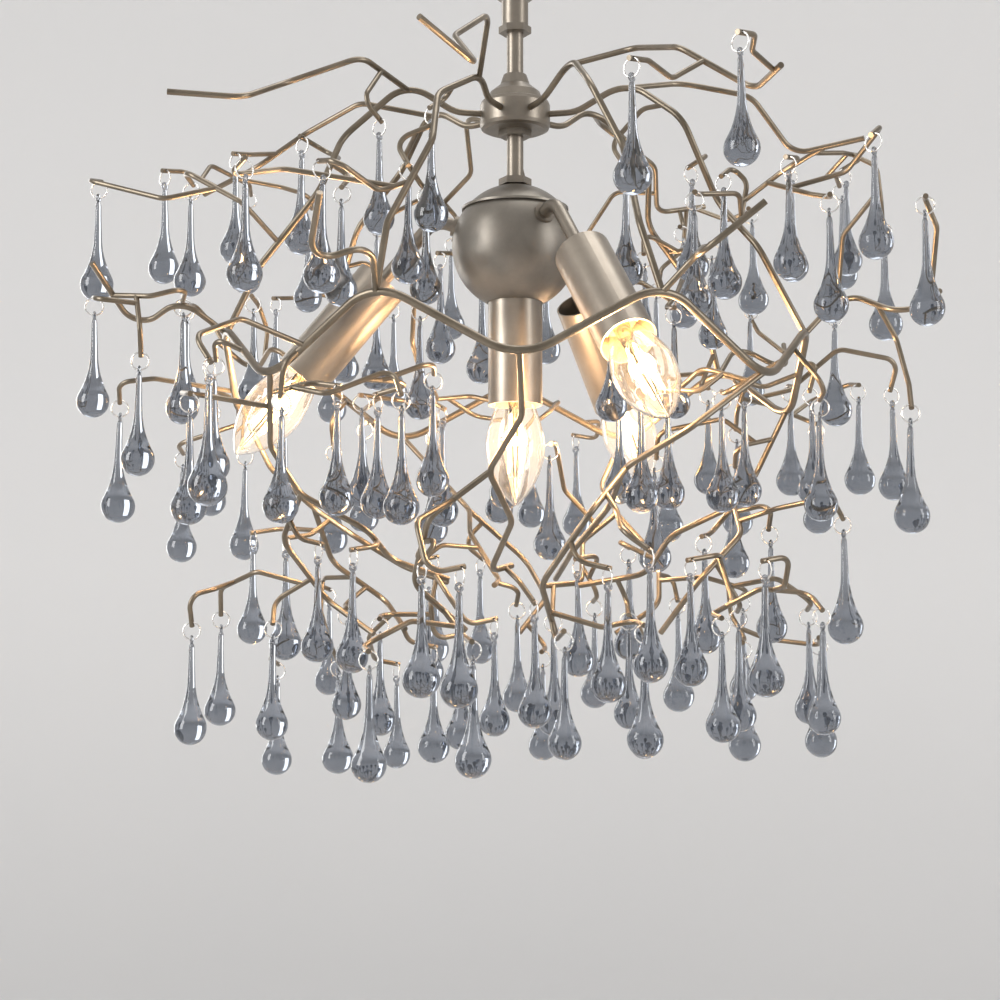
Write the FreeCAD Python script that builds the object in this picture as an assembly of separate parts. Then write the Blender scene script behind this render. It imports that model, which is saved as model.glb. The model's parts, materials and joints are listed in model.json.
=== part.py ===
import FreeCAD, Part
import math
import os
import random

Vector = FreeCAD.Vector
UP = Vector(0, 0, 1)
DOWN = Vector(0, 0, -1)
SEED = 5

# ---------------------------------------------------------------- driving dimensions, in millimetres
# The origin is the centre of the bore of the hanging loop. The heights below are measured from it.
LOOP_BORE_RADIUS = 10.0
LOOP_OUTER_RADIUS = 16.0
LOOP_THICKNESS = 6.0
LOOP_NECK_RADIUS = 8.0
LOOP_NECK_BOTTOM = -30.0

STEM_RADIUS = 5.0
STEM_BORE_RADIUS = 3.2
THREAD_CLEARANCE = 0.05
NUT_HEIGHT = 4.0
NUT_ACROSS_FLATS = 17.0

HUB_Z = -165.0
HUB_RADIUS = 37.5
HUB_WALL = 1.6
HUB_SEAM = 22.0
HUB_LIP = 1.4
HUB_OPENING_RADIUS = 16.5
HUB_PLATE_Z = 8.0
HUB_PLATE_THICKNESS = 3.0

COLLAR_Z = HUB_Z + 80.0
COLLAR_RADIUS = 21.0
COLLAR_HEIGHT = 18.0
SOCKET_DEPTH = 9.0

ARM_RADIUS = 4.0
ARM_BORE_RADIUS = 2.8
ARM_RISE = 20.0
ARM_BEND_RADIUS = 16.0
ARM_INSIDE_HUB = 7.0
FERRULE_RADIUS = 6.2

SLEEVE_RADIUS = 16.0
SLEEVE_WALL = 0.9
SLEEVE_LENGTH = 75.0
CENTRE_SLEEVE_TOP = 20.0
LAMP_TILT = 40.0
LAMP_AZIMUTHS = {"front_right": -62.0, "back_right": 58.0, "left": 178.0}
LAMP_TOP_RADIUS = 79.0
LAMP_TOP_DROP = 20.0

HOLDER_TOP = 21.0
HOLDER_LENGTH = 36.0
HOLDER_RADIUS = 12.6
HOLDER_SOCKET_RADIUS = 7.5
THREAD_DEPTH = 5.0
CONTACT_DEPTH = 4.0
CARRIER_THICKNESS = 2.0

BULB_BASE = 37.0
BULB_LENGTH = 98.0
BULB_RADIUS = 17.5
BULB_GLASS_WALL = 0.8
CAP_LENGTH = 22.0
CAP_RADIUS = 6.9
BULB_TRAVEL = 30.0

BRANCH_COUNT = 7
FIRST_BRANCH = -64.0
GIRDLE_ROD_RADIUS = 2.2
TRUNK_RADIUS = 1.9
LOWER_RADIUS = 1.7
TWIG_RADIUS = 1.5
GIRDLE_RADIUS = 172.0
GIRDLE_HIGH = -54.0
GIRDLE_LOW = -98.0
GIRDLE_BEND = 45.0
TRUNK_BEND = 22.0
ROD_BEND = 14.0
TWIG_BEND = 9.0
LOWER_SWEEP = 16.0

RING_RADIUS = 5.0
RING_WIRE = 0.45
HOLE_RADIUS = 0.9
TWIG_TIP = 2.6

DROP_RADIUS = 9.7
DROP_LENGTH = 61.0
NECK_TOP_RADIUS = 1.75
NECK_RADIUS = 2.25
NECK_LENGTH = 22.0
EYE_RADIUS = 1.75
EYE_WIRE = 0.9
NECK_SPACE = 4.6
DROP_SWING = 14.0
DROPS_IN_GROUP = 7
GROUP_TRIES = 30
PLACE_TRIES = 60
APART_IN_GROUP = 40.0
LEAST_TURN = 20.0
OPEN_ENOUGH = 45.0
SIGHT_HALF_WIDTH = 46.0
SIGHT_LOW = -128.0
CLEAR = 0.8
ROD_GAP = 1.2
BRAZE_REACH = 7.0
TIP_REACH = 6.0

# The upper, middle and lower zones that the groups of drops fill: how many groups, the pivots'
# heights from the hub's centre, and the ring of space round the axis.
DROP_ZONES = (
    {"groups": 7, "low": -25.0, "high": 62.0, "inner": 58.0, "outer": 248.0},
    {"groups": 7, "low": -135.0, "high": -30.0, "inner": 44.0, "outer": 248.0},
    {"groups": 8, "low": -255.0, "high": -150.0, "inner": 0.0, "outer": 190.0},
)


# ---------------------------------------------------------------- small helpers
def polar(radius, azimuth, height):
    """A point given by its distance from the axis, its azimuth in degrees and its height."""
    angle = math.radians(azimuth)
    return Vector(radius * math.cos(angle), radius * math.sin(angle), height)


def tube(start, end, outer, inner=0.0):
    """A straight round bar, or a tube where inner isn't zero."""
    axis = end - start
    solid = Part.makeCylinder(outer, axis.Length, start, axis)
    if inner:
        solid = solid.cut(Part.makeCylinder(inner, axis.Length, start, axis))
    return solid


def hexagon_nut(centre, axis, bore):
    """A hexagon locknut whose middle is at centre."""
    corner = NUT_ACROSS_FLATS / math.sqrt(3)
    points = [polar(corner, 60.0 * k, -NUT_HEIGHT / 2) for k in range(6)]
    nut = Part.Face(Part.makePolygon(points + points[:1])).extrude(Vector(0, 0, NUT_HEIGHT))
    nut = nut.cut(Part.makeCylinder(bore, NUT_HEIGHT, Vector(0, 0, -NUT_HEIGHT / 2)))
    nut.Placement = FreeCAD.Placement(centre, FreeCAD.Rotation(UP, axis))
    return nut


def turned(edges, start=None, axis=None):
    """A solid turned from a closed outline in the XZ plane, put on a given axis."""
    solid = Part.Face(Part.Wire(edges)).revolve(Vector(0, 0, 0), UP, 360)
    if start is not None:
        solid.Placement = FreeCAD.Placement(start, FreeCAD.Rotation(UP, axis))
    return solid


def outline(points):
    """The straight edges of a closed outline through (radius, height) points."""
    corners = [Vector(r, 0, z) for r, z in points]
    return [Part.LineSegment(a, b).toShape() for a, b in zip(corners, corners[1:] + corners[:1])]


def export(name, shapes):
    """Write one node: a solid, or a compound of separate solids."""
    shapes = shapes if isinstance(shapes, list) else [shapes]
    solids = [solid for shape in shapes for solid in shape.Solids]
    node = solids[0] if len(solids) == 1 else Part.makeCompound(solids)
    node.exportStep(f"parts/{name}.step")


# ---------------------------------------------------------------- bent rods
def bend_corners(points, largest_bend):
    """The tangent points and the middle of the arc at each inner corner of a rod's route."""
    corners = []
    for before, corner, after in zip(points, points[1:], points[2:]):
        back = before - corner
        ahead = after - corner
        turn = math.pi - back.getAngle(ahead)
        reach = 0.45 * min(back.Length, ahead.Length)
        radius = min(largest_bend, reach / math.tan(turn / 2))
        tangent = radius * math.tan(turn / 2)
        back.normalize()
        ahead.normalize()
        middle_way = back + ahead
        middle_way.normalize()
        sagitta = radius / math.cos(turn / 2) - radius
        first = corner + back * tangent
        final = corner + ahead * tangent
        corners.append((first, corner + middle_way * sagitta, final))
    return corners


def centreline(points, largest_bend):
    """The rod's centreline as short chords, which is enough for measuring clearances."""
    line = [points[0]]
    for corner in bend_corners(points, largest_bend):
        line.extend(corner)
    line.append(points[-1])
    return line


def swept_bar(edges, radius, start, way):
    """A round bar along edges that begin at start, heading along way."""
    section = Part.Wire(Part.makeCircle(radius, start, way))
    return Part.Wire(edges).makePipeShell([section], True, False)


def bent_rod(points, radius, largest_bend):
    """A round rod along straight runs joined by tangent arcs, in one piece."""
    edges = []
    last = points[0]
    for first, middle, final in bend_corners(points, largest_bend):
        edges.append(Part.LineSegment(last, first).toShape())
        edges.append(Part.Arc(first, middle, final).toShape())
        last = final
    edges.append(Part.LineSegment(last, points[-1]).toShape())
    return swept_bar(edges, radius, points[0], points[1] - points[0])


def rod_lengths(points, radius, largest_bend):
    """A round rod as lengths with one bend each, butted in the middle of its straight runs."""
    corners = bend_corners(points, largest_bend)
    cuts = [points[0]]
    cuts.extend((before[2] + after[0]) * 0.5 for before, after in zip(corners, corners[1:]))
    cuts.append(points[-1])
    lengths = []
    for start, (first, middle, final), end in zip(cuts, corners, cuts[1:]):
        edges = [
            Part.LineSegment(start, first).toShape(),
            Part.Arc(first, middle, final).toShape(),
            Part.LineSegment(final, end).toShape(),
        ]
        lengths.append(swept_bar(edges, radius, start, first - start))
    return lengths


def girdle_lengths(points, radius, largest_bend):
    """A round rod as separate straight runs and bends, for a rod whose bends are long."""
    lengths = []
    last = points[0]
    for first, middle, final in bend_corners(points, largest_bend):
        lengths.append(tube(last, first, radius))
        arc = Part.Arc(first, middle, final).toShape()
        lengths.append(swept_bar([arc], radius, first, first - last))
        last = final
    lengths.append(tube(last, points[-1], radius))
    return lengths


# ---------------------------------------------------------------- clearances between capsules
def capsule(start, end, radius):
    """A thick line for clearance tests, with its middle and its reach for quick tests."""
    return start, end, radius, (start + end) * 0.5, (end - start).Length / 2 + radius


def between(low, high, value):
    return max(low, min(high, value))


def line_distance(p1, q1, p2, q2):
    """The shortest distance between two straight segments."""
    d1 = q1 - p1
    d2 = q2 - p2
    offset = p1 - p2
    a = d1.dot(d1)
    e = d2.dot(d2)
    f = d2.dot(offset)
    c = d1.dot(offset)
    b = d1.dot(d2)
    spread = a * e - b * b
    s = between(0.0, 1.0, (b * f - c * e) / spread) if spread > 1e-9 else 0.0
    t = (b * s + f) / e
    if t < 0.0 or t > 1.0:
        t = between(0.0, 1.0, t)
        s = between(0.0, 1.0, (b * t - c) / a)
    return (p1 + d1 * s - p2 - d2 * t).Length


def touches(one, other, gap):
    """Whether two capsules come nearer to each other than gap."""
    if (one[3] - other[3]).Length > one[4] + other[4] + gap:
        return False
    return line_distance(one[0], one[1], other[0], other[1]) < one[2] + other[2] + gap


def clear_of(shapes, obstacles, gap):
    return not any(touches(shape, obstacle, gap) for shape in shapes for obstacle in obstacles)


# ---------------------------------------------------------------- lamps
def lamp_axes():
    """The top centre and the direction of each candle sleeve, the centre lamp first."""
    axes = {"centre": (Vector(0, 0, HUB_Z - CENTRE_SLEEVE_TOP), DOWN)}
    tilt = math.radians(LAMP_TILT)
    for name, azimuth in LAMP_AZIMUTHS.items():
        top = polar(LAMP_TOP_RADIUS, azimuth, HUB_Z - LAMP_TOP_DROP)
        axes[name] = (top, polar(math.sin(tilt), azimuth, -math.cos(tilt)))
    return axes


def arm_route(azimuth):
    """A curved arm's route from inside the hub, over and down into its lampholder."""
    tilt = math.radians(LAMP_TILT)
    rise = math.radians(ARM_RISE)
    wall_r = HUB_RADIUS * math.cos(rise)
    wall_z = HUB_RADIUS * math.sin(rise)
    out = (math.cos(rise), math.sin(rise))
    back = (-math.sin(tilt), math.cos(tilt))
    gap_r = LAMP_TOP_RADIUS - wall_r
    gap_z = -LAMP_TOP_DROP - wall_z
    run = (gap_r * back[1] - gap_z * back[0]) / (out[0] * back[1] - out[1] * back[0])
    inside = polar(wall_r - ARM_INSIDE_HUB * out[0], azimuth, HUB_Z + wall_z - ARM_INSIDE_HUB * out[1])
    corner = polar(wall_r + run * out[0], azimuth, HUB_Z + wall_z + run * out[1])
    end_depth = HOLDER_TOP + THREAD_DEPTH
    end_height = HUB_Z - LAMP_TOP_DROP - end_depth * back[1]
    end = polar(LAMP_TOP_RADIUS - end_depth * back[0], azimuth, end_height)
    return [inside, corner, end]


def bulb_profile():
    """(radius, distance from the cap's end) of the candle bulb's glass, from its neck to its tip."""
    return (
        (6.3, 17.0), (6.9, 23.0), (8.2, 28.0), (11.4, 37.0), (15.0, 48.0), (17.2, 58.0),
        (BULB_RADIUS, 64.0), (16.3, 73.0), (13.0, 82.0), (8.3, 90.0), (4.0, 95.2), (0.0, BULB_LENGTH),
    )


def glass_outline(wall):
    """The bulb's outline drawn in by the thickness of its wall, from the open neck to the tip."""
    points = [Vector(max(r - wall, 0.0), 0, z) for r, z in bulb_profile()]
    points[-1].z -= wall
    curve = Part.BSplineCurve()
    curve.interpolate(points)
    return curve.toShape(), points[0], points[-1]


def bulb_glass(start, axis):
    outer, outer_neck, outer_tip = glass_outline(0.0)
    inner, inner_neck, inner_tip = glass_outline(BULB_GLASS_WALL)
    edges = [outer, Part.LineSegment(outer_tip, inner_tip).toShape(), inner,
             Part.LineSegment(inner_neck, outer_neck).toShape()]
    return turned(Part.__sortEdges__(edges), start, axis)


def bulb_cap(start, axis):
    """The screw cap: a contact button, an insulator cone and a skirt that holds the glass's neck."""
    solid = turned(outline((
        (0, 0), (2.4, 0), (2.4, 1.2), (CAP_RADIUS - 1.2, 4.0),
        (CAP_RADIUS, 5.0), (CAP_RADIUS, CAP_LENGTH), (0, CAP_LENGTH),
    )))
    neck = glass_outline(0.0)[1]
    above = CAP_LENGTH + 3
    pocket = turned(outline(((0, neck.z), (neck.x + 0.02, neck.z), (7.2, above), (0, above))))
    solid = solid.cut(pocket)
    solid.Placement = FreeCAD.Placement(start, FreeCAD.Rotation(UP, axis))
    return solid


def bulb_filaments(start, axis):
    """Four upright LED sticks on a glass support."""
    placement = FreeCAD.Placement(start, FreeCAD.Rotation(UP, axis))
    sticks = [Part.makeCylinder(1.1, 14.0, Vector(0, 0, 29.0))]
    for k in range(4):
        foot = polar(3.2, 45 + 90 * k, 43.5)
        head = polar(5.6, 45 + 90 * k, 78.0)
        sticks.append(tube(foot, head, 0.8))
    for stick in sticks:
        stick.Placement = placement.multiply(stick.Placement)
    return sticks


def candle_sleeve(start, axis):
    return tube(start, start + axis * SLEEVE_LENGTH, SLEEVE_RADIUS, SLEEVE_RADIUS - SLEEVE_WALL)


def lampholder(start, axis, stem_radius):
    """A lampholder with a threaded top for the tube that carries it and an open screw socket."""
    top = start + axis * HOLDER_TOP
    bottom = top + axis * HOLDER_LENGTH
    solid = tube(top, bottom, HOLDER_RADIUS)
    solid = solid.cut(tube(top, top + axis * THREAD_DEPTH, stem_radius + THREAD_CLEARANCE))
    socket_floor = start + axis * (BULB_BASE - 0.8)
    solid = solid.cut(tube(socket_floor, bottom, HOLDER_SOCKET_RADIUS))
    contact_floor = start + axis * (BULB_BASE - CONTACT_DEPTH)
    return solid.cut(tube(contact_floor, socket_floor, 3.2))


def holder_contact(start, axis):
    foot = start + axis * (BULB_BASE - CONTACT_DEPTH)
    return tube(foot, start + axis * (BULB_BASE - 0.3), 2.2)


def sleeve_carrier(start, axis, stem_radius):
    """A slotted disc between the locknut and the lampholder that centres the sleeve."""
    low = start + axis * (HOLDER_TOP - CARRIER_THICKNESS)
    high = start + axis * HOLDER_TOP
    disc = tube(low, high, SLEEVE_RADIUS - SLEEVE_WALL, stem_radius + THREAD_CLEARANCE)
    side = axis.cross(Vector(0, 1, 0))
    side.normalize()
    for k in range(4):
        spoke = FreeCAD.Rotation(axis, 45 + 90 * k).multVec(side) * 10.0
        disc = disc.cut(tube(low + spoke, high + spoke, 2.8))
    return disc


def build_lamps(axes):
    sleeves, holders, contacts, carriers, nuts = [], [], [], [], []
    for name, (start, axis) in axes.items():
        stem_radius = STEM_RADIUS if name == "centre" else ARM_RADIUS
        sleeves.append(candle_sleeve(start, axis))
        holders.append(lampholder(start, axis, stem_radius))
        contacts.append(holder_contact(start, axis))
        carriers.append(sleeve_carrier(start, axis, stem_radius))
        nut_depth = HOLDER_TOP - CARRIER_THICKNESS - NUT_HEIGHT / 2
        nuts.append(hexagon_nut(start + axis * nut_depth, axis, stem_radius + THREAD_CLEARANCE))
        base = start + axis * BULB_BASE
        export(f"bulb_{name}_glass", bulb_glass(base, axis))
        export(f"bulb_{name}_cap", bulb_cap(base, axis))
        export(f"bulb_{name}_filaments", bulb_filaments(base, axis))
    export("centre_candle_sleeve", sleeves[0])
    export("arm_candle_sleeves", sleeves[1:])
    export("lampholders", holders)
    export("lampholder_contacts", contacts)
    export("sleeve_carriers", carriers)
    export("lamp_locknuts", nuts)


def build_arms():
    arms, ferrules, nuts = [], [], []
    rise = math.radians(ARM_RISE)
    for azimuth in LAMP_AZIMUTHS.values():
        route = arm_route(azimuth)
        skin = bent_rod(route, ARM_RADIUS, ARM_BEND_RADIUS)
        arms.append(skin.cut(bent_rod(route, ARM_BORE_RADIUS, ARM_BEND_RADIUS)))
        out = polar(math.cos(rise), azimuth, math.sin(rise))
        centre = Vector(0, 0, HUB_Z)
        bore = ARM_RADIUS + THREAD_CLEARANCE
        root = centre + out * (HUB_RADIUS - 2)
        brim = centre + out * (HUB_RADIUS + 1.6)
        ferrule = tube(root, brim, FERRULE_RADIUS, bore)
        ferrules.append(ferrule.cut(Part.makeSphere(HUB_RADIUS, centre)))
        nut_start = centre + out * (HUB_RADIUS - HUB_WALL - 4.6)
        nut_end = centre + out * (HUB_RADIUS - HUB_WALL - 1.2)
        nuts.append(tube(nut_start, nut_end, 7.0, bore))
    export("lamp_arms", arms)
    export("arm_ferrules", ferrules)
    export("arm_ring_nuts", nuts)


# ---------------------------------------------------------------- centre column and hub
def build_column():
    eye = tube(Vector(0, -LOOP_THICKNESS / 2, 0), Vector(0, LOOP_THICKNESS / 2, 0), LOOP_OUTER_RADIUS)
    neck = tube(Vector(0, 0, -LOOP_BORE_RADIUS - 2), Vector(0, 0, LOOP_NECK_BOTTOM), LOOP_NECK_RADIUS)
    bore = tube(Vector(0, -LOOP_NECK_RADIUS, 0), Vector(0, LOOP_NECK_RADIUS, 0), LOOP_BORE_RADIUS)
    stem_top = LOOP_NECK_BOTTOM + 9.0
    thread = tube(Vector(0, 0, LOOP_NECK_BOTTOM), Vector(0, 0, stem_top), STEM_RADIUS + THREAD_CLEARANCE)
    export("hanging_loop", eye.fuse(neck).cut(bore).cut(thread).removeSplitter())

    stem_end = HUB_Z - CENTRE_SLEEVE_TOP - HOLDER_TOP - THREAD_DEPTH
    export("stem_tube", tube(Vector(0, 0, stem_top), Vector(0, 0, stem_end), STEM_RADIUS, STEM_BORE_RADIUS))

    plate_top = HUB_Z + HUB_PLATE_Z + HUB_PLATE_THICKNESS
    nut_heights = (
        LOOP_NECK_BOTTOM - NUT_HEIGHT / 2,
        COLLAR_Z - COLLAR_HEIGHT / 2 - NUT_HEIGHT / 2,
        HUB_Z + HUB_RADIUS + NUT_HEIGHT / 2,
        plate_top + NUT_HEIGHT / 2,
        HUB_Z + HUB_PLATE_Z - NUT_HEIGHT / 2,
    )
    export("stem_locknuts", [hexagon_nut(Vector(0, 0, z), UP, STEM_RADIUS + THREAD_CLEARANCE)
                             for z in nut_heights])

    low = COLLAR_Z - COLLAR_HEIGHT / 2
    high = COLLAR_Z + COLLAR_HEIGHT / 2
    bore = STEM_RADIUS + THREAD_CLEARANCE
    collar = turned(outline((
        (bore, low), (COLLAR_RADIUS - 3, low), (COLLAR_RADIUS - 0.8, low + 1), (COLLAR_RADIUS, low + 3),
        (COLLAR_RADIUS, high - 3), (COLLAR_RADIUS - 0.8, high - 1), (COLLAR_RADIUS - 3, high), (bore, high),
    )))
    for k in range(BRANCH_COUNT):
        mouth = polar(COLLAR_RADIUS, branch_azimuth(k), COLLAR_Z)
        floor = polar(COLLAR_RADIUS - SOCKET_DEPTH, branch_azimuth(k), COLLAR_Z)
        collar = collar.cut(tube(floor, mouth, TRUNK_RADIUS + THREAD_CLEARANCE))
    export("branch_collar", collar)

    cap = turned(outline((
        (bore, high), (17.0, high), (15.0, high + 5),
        (9.0, high + 10), (7.0, high + 16), (bore, high + 16),
    )))
    export("collar_cap", cap)


def build_hub():
    centre = Vector(0, 0, HUB_Z)
    shell = Part.makeSphere(HUB_RADIUS, centre).cut(Part.makeSphere(HUB_RADIUS - HUB_WALL, centre))
    seam = HUB_Z + HUB_SEAM
    size = 4 * HUB_RADIUS
    upper_space = Part.makeBox(size, size, size, Vector(-size / 2, -size / 2, seam))
    lip_radius = math.sqrt(HUB_RADIUS ** 2 - HUB_SEAM ** 2)
    lip_low = Vector(0, 0, seam)
    lip = tube(lip_low, lip_low + UP * HUB_LIP, lip_radius + HUB_LIP, lip_radius - HUB_WALL)
    upper = shell.common(upper_space).fuse(lip)
    upper = upper.cut(tube(centre, centre + UP * size, STEM_RADIUS + THREAD_CLEARANCE))
    export("hub_upper_cover", upper)

    lower = shell.cut(upper_space)
    lower = lower.cut(tube(centre, centre - UP * size, HUB_OPENING_RADIUS))
    rise = math.radians(ARM_RISE)
    for azimuth in LAMP_AZIMUTHS.values():
        out = polar(math.cos(rise), azimuth, math.sin(rise))
        lower = lower.cut(tube(centre, centre + out * size, ARM_RADIUS + 0.2))
    export("hub_lower_bowl", lower)

    inner = HUB_RADIUS - HUB_WALL
    low = HUB_PLATE_Z
    high = HUB_PLATE_Z + HUB_PLATE_THICKNESS
    edge_radius = math.sqrt(inner ** 2 - high ** 2)
    plate = tube(centre + UP * low, centre + UP * high, edge_radius, STEM_RADIUS + THREAD_CLEARANCE)
    for azimuth in LAMP_AZIMUTHS.values():
        side = polar(1, azimuth, 0)
        relief = Part.makeSphere(12.5, centre + side * 31.0 + UP * 11.0)
        plate = plate.cut(relief)
    export("hub_plate", plate)


# ---------------------------------------------------------------- branches
def branch_azimuth(k):
    return FIRST_BRANCH + k * 360.0 / BRANCH_COUNT


def branch_rods(k, rng):
    """The main rods of one branch: its trunk, its stretch of the wavy girdle, and their side rods."""
    azimuth = branch_azimuth(k)
    half = 180.0 / BRANCH_COUNT

    def at(radius, turn, height, wobble=6.0):
        radius += rng.uniform(-wobble, wobble)
        turn += rng.uniform(-wobble, wobble) * 30.0 / max(radius, 60.0)
        return polar(radius, azimuth + turn, HUB_Z + height + rng.uniform(-wobble, wobble))

    start = polar(COLLAR_RADIUS - SOCKET_DEPTH, azimuth, COLLAR_Z)
    exit_point = polar(COLLAR_RADIUS + 16, azimuth, COLLAR_Z)
    lows = [polar(GIRDLE_RADIUS, azimuth + side * half, HUB_Z + GIRDLE_LOW) for side in (-1, 1)]
    highs = [polar(GIRDLE_RADIUS, azimuth + side * half, HUB_Z + GIRDLE_HIGH) for side in (0, 2)]
    girdle = [(lows[0] + highs[0]) * 0.5, highs[0], lows[1], (lows[1] + highs[1]) * 0.5]
    girdle_bends = bend_corners(girdle, GIRDLE_BEND)
    high = girdle_bends[0][1]
    trunk = [
        start, exit_point, at(62, 3, 94), at(98, -4, 66),
        at(122, 4, 28), at(150, -2, -14), high,
    ]
    outer = [high, at(196, 4, -38), at(222, -3, -52), at(246, 3, -30)]
    turn = half - 8 + rng.uniform(-LOWER_SWEEP, LOWER_SWEEP)
    inward = [
        girdle_bends[1][1], at(150, turn + 4, -128), at(128, turn - 4, -150),
        at(96, turn + 2, -168), at(72, turn - 8, -192), at(40, turn, -196),
    ]
    inward_bends = bend_corners(inward, ROD_BEND)
    hanging = [
        inward_bends[1][1], at(136, turn - 18, -178),
        at(112, turn - 26, -206), at(84, turn - 16, -226),
    ]
    trunk_bends = bend_corners(trunk, TRUNK_BEND)
    rise = [
        trunk_bends[1][1], at(100, 17, 104), at(142, 12, 86),
        at(176, 19, 58), at(214, 13, 62),
    ]
    return (
        {"points": trunk, "radius": TRUNK_RADIUS, "bend": TRUNK_BEND},
        {"points": outer, "radius": LOWER_RADIUS, "bend": ROD_BEND},
        {"points": girdle, "radius": GIRDLE_ROD_RADIUS, "bend": GIRDLE_BEND},
        {"points": inward, "radius": LOWER_RADIUS, "bend": ROD_BEND},
        {"points": hanging, "radius": LOWER_RADIUS, "bend": ROD_BEND},
        {"points": rise, "radius": LOWER_RADIUS, "bend": ROD_BEND},
    )


def rod_capsules(rod):
    line = centreline(rod["points"], rod["bend"])
    return [capsule(a, b, rod["radius"]) for a, b in zip(line, line[1:]) if (b - a).Length > 0.2]


def clear_branch(k, rng, earlier, obstacles):
    """Draws a branch again until its main rods are clear of the lamps and of the branches before it."""
    girdles = []
    others = []
    for rod in (rod for branch in earlier for rod in branch):
        same_kind = girdles if rod["bend"] == GIRDLE_BEND else others
        same_kind.extend(rod["capsules"])
    collar = Vector(0, 0, COLLAR_Z)
    while True:
        rods = list(branch_rods(k, rng))
        for rod in rods:
            rod["capsules"] = rod_capsules(rod)
            rod["attachments"] = attachment_points([rod])
        pieces = [piece for rod in rods for piece in rod["capsules"]]
        outside = [piece for piece in pieces if (piece[3] - collar).Length > COLLAR_RADIUS + 8]
        free_rods = [rod for rod in rods if rod["bend"] != GIRDLE_BEND]
        free = [piece for rod in free_rods for piece in rod["capsules"]]
        if not clear_of(outside, obstacles, CLEAR):
            continue
        if clear_of(outside, others, ROD_GAP) and clear_of(free, girdles, ROD_GAP):
            return rods


def fixed_obstacles(axes):
    """Everything in the middle of the lamp that the rods and the drops keep clear of."""
    obstacles = [
        capsule(Vector(0, 0, HUB_Z), Vector(0, 0, HUB_Z + 0.5), HUB_RADIUS + 1.5),
        capsule(Vector(0, 0, COLLAR_Z - 4), Vector(0, 0, COLLAR_Z + 12), COLLAR_RADIUS),
        capsule(Vector(0, 0, LOOP_NECK_BOTTOM), Vector(0, 0, HUB_Z), 10.0),
    ]
    for start, axis in axes.values():
        mouth = start + axis * SLEEVE_LENGTH
        furthest = start + axis * (BULB_BASE + BULB_LENGTH - BULB_RADIUS + BULB_TRAVEL)
        obstacles.append(capsule(start, mouth, SLEEVE_RADIUS))
        obstacles.append(capsule(mouth, furthest, BULB_RADIUS))
    for azimuth in LAMP_AZIMUTHS.values():
        line = centreline(arm_route(azimuth), ARM_BEND_RADIUS)
        obstacles.extend(capsule(a, b, ARM_RADIUS + 1.0) for a, b in zip(line, line[1:]))
    return obstacles


# ---------------------------------------------------------------- drops
def drop_space(group, place, scale):
    """The capsules that one drop, its ring and its swing fill."""
    pivot = place
    spaces = [capsule(pivot, pivot + group["normal"] * (2 * RING_RADIUS), RING_RADIUS + RING_WIRE)]
    for angle in (-DROP_SWING, 0.0, DROP_SWING):
        down = FreeCAD.Rotation(group["axis"], angle).multVec(DOWN)
        neck = pivot + down * (0.6 * DROP_LENGTH * scale)
        bulb = pivot + down * ((DROP_LENGTH - DROP_RADIUS) * scale)
        spaces.append(capsule(pivot, neck, NECK_SPACE))
        spaces.append(capsule(neck, bulb, DROP_RADIUS * scale))
    return spaces


def new_drop(group, place, scale):
    spaces = drop_space(group, place, scale)
    middle = place + DOWN * (0.45 * DROP_LENGTH)
    reach = max((space[3] - middle).Length + space[4] for space in spaces)
    return {"place": place, "scale": scale, "spaces": spaces, "middle": middle, "reach": reach}


def drops_clash(one, other):
    if (one["middle"] - other["middle"]).Length > one["reach"] + other["reach"] + CLEAR:
        return False
    return not clear_of(one["spaces"], other["spaces"], CLEAR)


def inside_zone(place, zone):
    radius = math.hypot(place.x, place.y)
    height = place.z - HUB_Z
    return zone["inner"] < radius < zone["outer"] and zone["low"] < height < zone["high"]


def hides_hub(place):
    """Whether a drop would hang in front of the hub or the centre lamp's sleeve."""
    return place.y < 0 and abs(place.x) < SIGHT_HALF_WIDTH and place.z > HUB_Z + SIGHT_LOW


def try_group(zone, rng, placed, obstacles):
    """One line of drops that swing together, since their pivots share one axis."""
    azimuth = 90 + rng.choice((-1, 1)) * rng.uniform(LEAST_TURN, 90)
    slope = rng.uniform(-13, 13)
    axis = polar(math.cos(math.radians(slope)), azimuth, math.sin(math.radians(slope)))
    normal = UP - axis * axis.dot(UP)
    normal.normalize()
    group = {"axis": axis, "normal": normal, "across": axis.cross(normal), "drops": []}
    offset = rng.uniform(-0.85, 0.85) * zone["outer"]
    side = polar(offset, azimuth + 90, HUB_Z + rng.uniform(zone["low"], zone["high"]))
    for _ in range(PLACE_TRIES):
        place = side + axis * rng.uniform(-zone["outer"], zone["outer"])
        if hides_hub(place) or not inside_zone(place, zone):
            continue
        if any((place - other["place"]).Length < APART_IN_GROUP for other in group["drops"]):
            continue
        drop = new_drop(group, place, rng.uniform(0.93, 1.04))
        if any(drops_clash(drop, other) for other in placed + group["drops"]):
            continue
        if clear_of(drop["spaces"], obstacles, CLEAR):
            group["drops"].append(drop)
        if len(group["drops"]) == DROPS_IN_GROUP:
            break
    return group


def openness(group, placed):
    """How well a group fills empty space: more drops, and each far from the drops already there."""
    total = 0.0
    for drop in group["drops"]:
        nearest = min(((drop["place"] - other["place"]).Length for other in placed), default=OPEN_ENOUGH)
        total += 20.0 + min(nearest, OPEN_ENOUGH)
    return total


def place_groups(rng, obstacles):
    groups = []
    placed = []
    for zone in DROP_ZONES:
        for _ in range(zone["groups"]):
            tries = [try_group(zone, rng, placed, obstacles) for _ in range(GROUP_TRIES)]
            best = max(tries, key=lambda group: openness(group, placed))
            groups.append(best)
            placed.extend(best["drops"])
    return groups


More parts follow.
